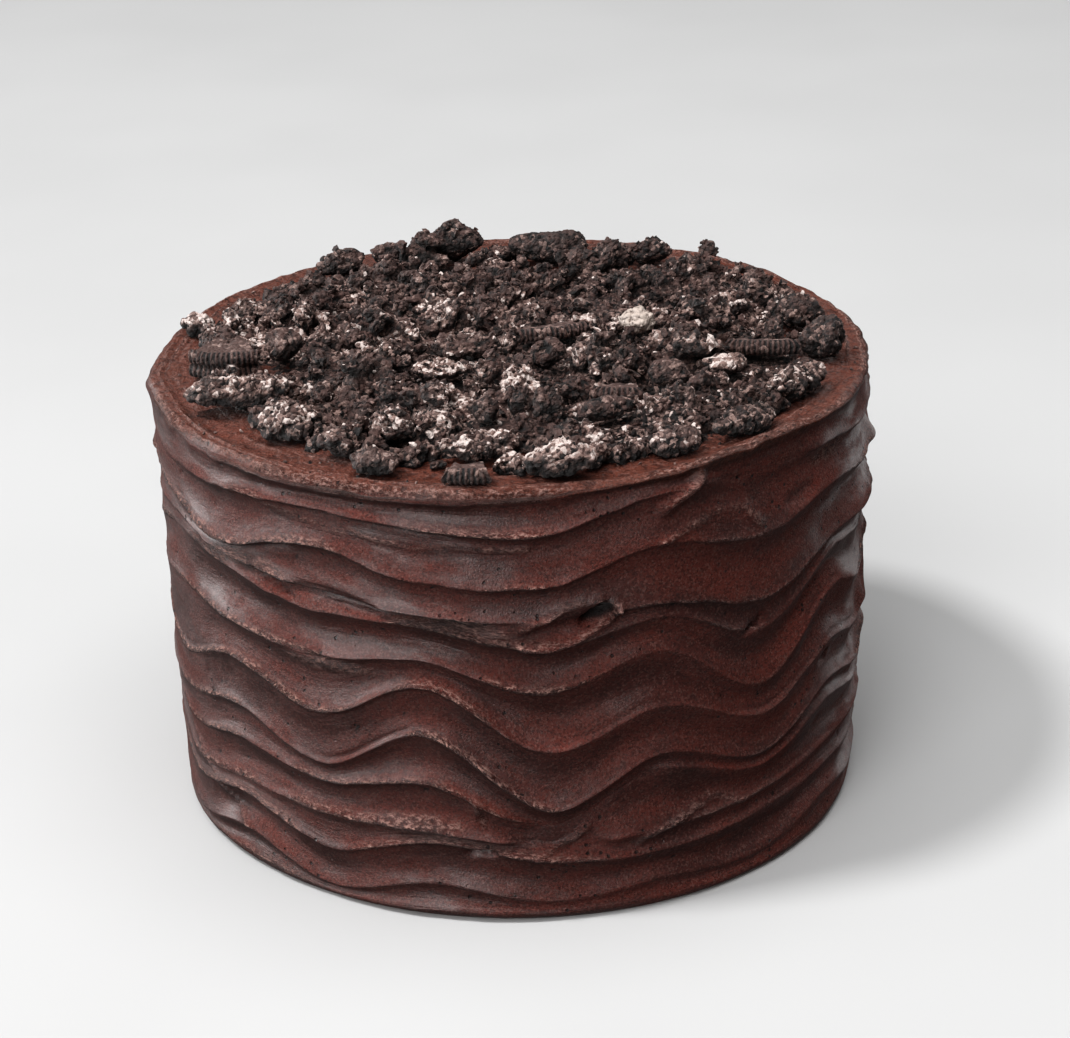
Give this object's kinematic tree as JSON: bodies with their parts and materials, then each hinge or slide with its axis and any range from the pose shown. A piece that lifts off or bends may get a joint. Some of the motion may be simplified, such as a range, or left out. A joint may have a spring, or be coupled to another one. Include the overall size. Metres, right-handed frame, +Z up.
{
  "type": "chocolate cookie cake",
  "caption": "Round tall layer cake under wavy dark chocolate buttercream, its flat top heaped with crushed dark sandwich cookies.",
  "frame": {"origin": "middle of the cake's base, on the surface that it stands on", "axes": "+Z up; the cake's front, as it was seen, faces -Y, and +X is to the right seen from the front"},
  "size_m": [0.2071, 0.206, 0.1434],
  "materials": {
    "buttercream": "dark chocolate buttercream, satin, drawn into waves with a palette knife",
    "cookie_crumb": "dry black cocoa cookie crumb with pale cream flecks",
    "cookie": "dry baked black cocoa cookie, granular where it broke",
    "cream_filling": "matte off-white sugar cream"
  },
  "bodies": {
    "root": {"cookie_chunk_back_block": "cookie", "cookie_chunk_back_left": "cookie", "cookie_chunk_back_low": "cookie", "cookie_chunk_back_peak": "cookie", "cookie_chunk_back_right": "cookie", "cookie_chunk_dark_arc": "cookie", "cookie_chunk_flat_long": "cookie", "cookie_chunk_front_a": "cookie", "cookie_chunk_front_b": "cookie", "cookie_chunk_front_c": "cookie", "cookie_chunk_front_d": "cookie", "cookie_chunk_front_e": "cookie", "cookie_chunk_front_f": "cookie", "cookie_chunk_front_left": "cookie", "cookie_chunk_front_right": "cookie", "cookie_chunk_knob": "cookie", "cookie_chunk_left_back": "cookie", "cookie_chunk_left_edge": "cookie", "cookie_chunk_left_long": "cookie", "cookie_chunk_left_oval": "cookie", "cookie_chunk_pale_flat": "cookie", "cookie_chunk_pale_middle": "cookie", "cookie_chunk_right_back": "cookie", "cookie_chunk_right_edge": "cookie", "cookie_chunk_right_flat": "cookie", "cookie_chunk_right_grey": "cookie", "cookie_chunk_right_long": "cookie", "cream_lump": "cream_filling", "crumb_heap": "cookie_crumb", "frosted_cake": "buttercream", "wafer_piece_front": "cookie", "wafer_piece_left": "cookie", "wafer_piece_middle": "cookie", "wafer_piece_right": "cookie", "wafer_piece_small": "cookie"}
  },
  "joints": []
}
